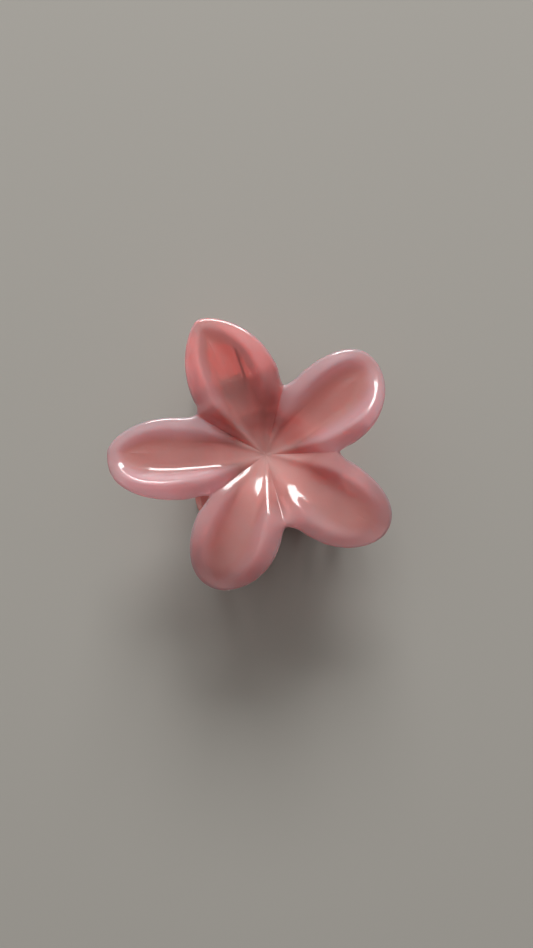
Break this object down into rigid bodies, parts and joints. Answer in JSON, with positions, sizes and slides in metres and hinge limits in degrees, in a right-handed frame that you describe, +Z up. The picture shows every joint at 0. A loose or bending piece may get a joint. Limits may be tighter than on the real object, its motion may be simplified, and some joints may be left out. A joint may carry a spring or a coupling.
{
  "type": "hair claw clip",
  "caption": "Sprung toothed hair claw with a cupped, glossy translucent flower on its front jaw; pressing a petal against the rear lever opens the jaws.",
  "frame": {"origin": "on the surface that the clip lies on, under the middle of its length and width", "axes": "+X along the hinge pin, +Y towards the petal that is pressed and the rear lever, +Z up, out of the flower's face; the flower's face leans 5 degrees towards +Y"},
  "size_m": [0.0786, 0.0751, 0.0414],
  "materials": {
    "petal_plastic": "glossy translucent pink, milky like jelly",
    "jaw_plastic": "glossy translucent pink, same moulding plastic as the flower",
    "spring_steel": "drawn spring wire",
    "pin_steel": "smooth drawn pin"
  },
  "bodies": {
    "rear_half": {"rear_jaw": "jaw_plastic", "hinge_pin": "pin_steel", "torsion_spring": "spring_steel"},
    "front_half": {"flower": "petal_plastic", "front_jaw": "jaw_plastic"}
  },
  "joints": [
    {"name": "jaw_hinge", "type": "hinge", "parent": "rear_half", "child": "front_half", "pos_m": [0, 0.01735, 0.02312], "axis": [-1, 0, 0], "range_deg": [0, 40], "stiffness_Nm_per_rad": 0.12, "springref_deg": -40.11, "deforming": ["torsion_spring"]}
  ]
}
